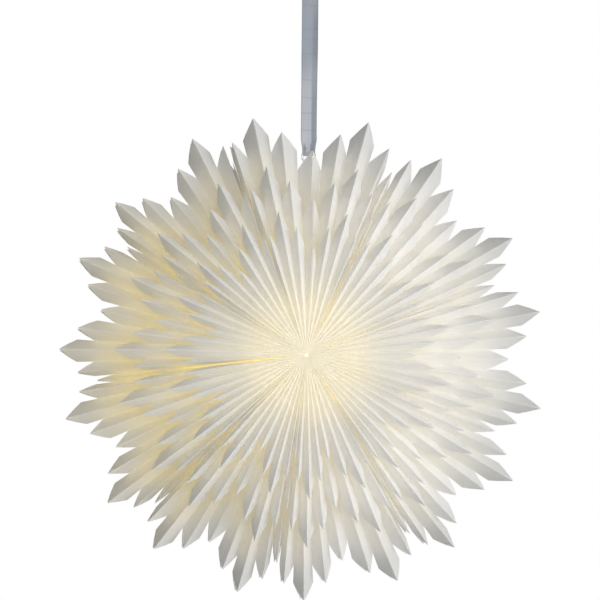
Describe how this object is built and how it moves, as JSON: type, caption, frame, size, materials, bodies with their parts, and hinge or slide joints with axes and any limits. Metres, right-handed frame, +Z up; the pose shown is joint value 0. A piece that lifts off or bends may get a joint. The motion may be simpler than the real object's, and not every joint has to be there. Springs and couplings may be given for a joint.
{
  "type": "paper star lantern",
  "caption": "Folded paper star lantern with rows of pointed pleats, opened to a full round, hung on a satin ribbon, with a small lamp inside.",
  "frame": {"origin": "on the hook's axis, in the ceiling's face", "axes": "+Z up along the hook's shank, the star's front faces -Y, +X to the right as seen from the front"},
  "size_m": [0.594, 0.22, 0.819],
  "materials": {
    "leaf_paper": "matte translucent paper",
    "cover_card": "matte translucent paper",
    "zinc_wire": "zinc-plated wire",
    "sleeve_metal": "crimped, satin",
    "satin": "satin weave, light grey-blue",
    "disc_plastic": "moulded, matte",
    "hook_and_loop": "short pile",
    "holder_plastic": "moulded, smooth",
    "insert_ceramic": "unglazed",
    "socket_brass": "pressed sheet",
    "bulb_cap_metal": "rolled thread",
    "solder": "dull",
    "opal_glass": "opal, softly glossy",
    "stem_glass": "clear",
    "filament_coat": "phosphor coating"
  },
  "bodies": {
    "ceiling": {"ceiling_hook": "zinc_wire"},
    "ring": {"hanging_ring": "zinc_wire"},
    "hanging_ribbon": {"ribbon": "satin"},
    "star": {"carrier_wire": "zinc_wire", "support_disc": "disc_plastic", "crimp_sleeve": "sleeve_metal", "cover_left": "cover_card", "closing_pads_left": "hook_and_loop", "holder_cap": "holder_plastic", "holder_skirt": "holder_plastic", "ceramic_insert": "insert_ceramic", "screw_shell": "socket_brass", "centre_contact": "socket_brass"},
    "fan_1": {"book_1": "leaf_paper"},
    "fan_2": {"book_2": "leaf_paper"},
    "fan_3": {"book_3": "leaf_paper"},
    "fan_4": {"book_4": "leaf_paper"},
    "fan_5": {"book_5": "leaf_paper"},
    "fan_6": {"book_6": "leaf_paper"},
    "fan_7": {"book_7": "leaf_paper"},
    "fan_8": {"book_8": "leaf_paper"},
    "fan_9": {"book_9": "leaf_paper", "cover_right": "cover_card", "closing_pads_right": "hook_and_loop"},
    "clamp": {"clamping_ring": "holder_plastic"},
    "bulb_foot": {"bulb_contact": "solder"},
    "bulb": {"bulb_cap": "bulb_cap_metal", "bulb_glass": "opal_glass", "bulb_stem": "stem_glass", "bulb_filaments": "filament_coat"}
  },
  "joints": [
    {"name": "swing_side", "type": "hinge", "parent": "ceiling", "child": "ring", "pos_m": [0, 0, -0.0256], "axis": [0, 1, 0], "range_deg": [-35, 35]},
    {"name": "swing_fore", "type": "hinge", "parent": "ring", "child": "hanging_ribbon", "pos_m": [0, 0, -0.04075], "axis": [1, 0, 0], "range_deg": [-35, 35]},
    {"name": "star_turn", "type": "hinge", "parent": "hanging_ribbon", "child": "star", "pos_m": [0, 0, -0.04075], "axis": [0, 0, 1], "range_deg": [-180, 180], "deforming": ["ribbon"]},
    {"name": "fold_1", "type": "hinge", "parent": "star", "child": "fan_1", "pos_m": [-0.0058, 0, -0.505], "axis": [0, -1, 0], "range_deg": [-37, 0], "deforming": ["book_1"]},
    {"name": "fold_2", "type": "hinge", "parent": "fan_1", "child": "fan_2", "pos_m": [-0.0058, 0, -0.505], "axis": [0, -1, 0], "range_deg": [-37, 0], "deforming": ["book_2"]},
    {"name": "fold_3", "type": "hinge", "parent": "fan_2", "child": "fan_3", "pos_m": [-0.0058, 0, -0.505], "axis": [0, -1, 0], "range_deg": [-37, 0], "deforming": ["book_3"]},
    {"name": "fold_4", "type": "hinge", "parent": "fan_3", "child": "fan_4", "pos_m": [-0.0058, 0, -0.505], "axis": [0, -1, 0], "range_deg": [-37, 0], "deforming": ["book_4"]},
    {"name": "fold_5", "type": "hinge", "parent": "fan_4", "child": "fan_5", "pos_m": [-0.0058, 0, -0.505], "axis": [0, -1, 0], "range_deg": [-37, 0], "deforming": ["book_5"]},
    {"name": "fold_6", "type": "hinge", "parent": "fan_5", "child": "fan_6", "pos_m": [-0.0058, 0, -0.505], "axis": [0, -1, 0], "range_deg": [-37, 0], "deforming": ["book_6"]},
    {"name": "fold_7", "type": "hinge", "parent": "fan_6", "child": "fan_7", "pos_m": [-0.0058, 0, -0.505], "axis": [0, -1, 0], "range_deg": [-37, 0], "deforming": ["book_7"]},
    {"name": "fold_8", "type": "hinge", "parent": "fan_7", "child": "fan_8", "pos_m": [-0.0058, 0, -0.505], "axis": [0, -1, 0], "range_deg": [-37, 0], "deforming": ["book_8"]},
    {"name": "fold_9", "type": "hinge", "parent": "fan_8", "child": "fan_9", "pos_m": [-0.0058, 0, -0.505], "axis": [0, -1, 0], "range_deg": [-37, 0], "deforming": ["book_9"]},
    {"name": "clamp_turn", "type": "hinge", "parent": "star", "child": "clamp", "pos_m": [-0.0058, 0, -0.505], "axis": [0, 0, -1], "range_deg": [0, 360]},
    {"name": "bulb_travel", "type": "slide", "parent": "star", "child": "bulb_foot", "axis": [0, 0, -1], "range_m": [0, 0.017]},
    {"name": "bulb_turn", "type": "hinge", "parent": "bulb_foot", "child": "bulb", "pos_m": [-0.0058, 0, -0.505], "axis": [0, 0, -1], "range_deg": [0, 2160]}
  ],
  "couplings": [
    {"joint": "fold_2", "follows": "fold_1", "ratio": 1},
    {"joint": "fold_3", "follows": "fold_1", "ratio": 1},
    {"joint": "fold_4", "follows": "fold_1", "ratio": 1},
    {"joint": "fold_5", "follows": "fold_1", "ratio": 1},
    {"joint": "fold_6", "follows": "fold_1", "ratio": 1},
    {"joint": "fold_7", "follows": "fold_1", "ratio": 1},
    {"joint": "fold_8", "follows": "fold_1", "ratio": 1},
    {"joint": "fold_9", "follows": "fold_1", "ratio": 1},
    {"joint": "bulb_travel", "follows": "bulb_turn", "m_per_rad": 0.0004488}
  ]
}
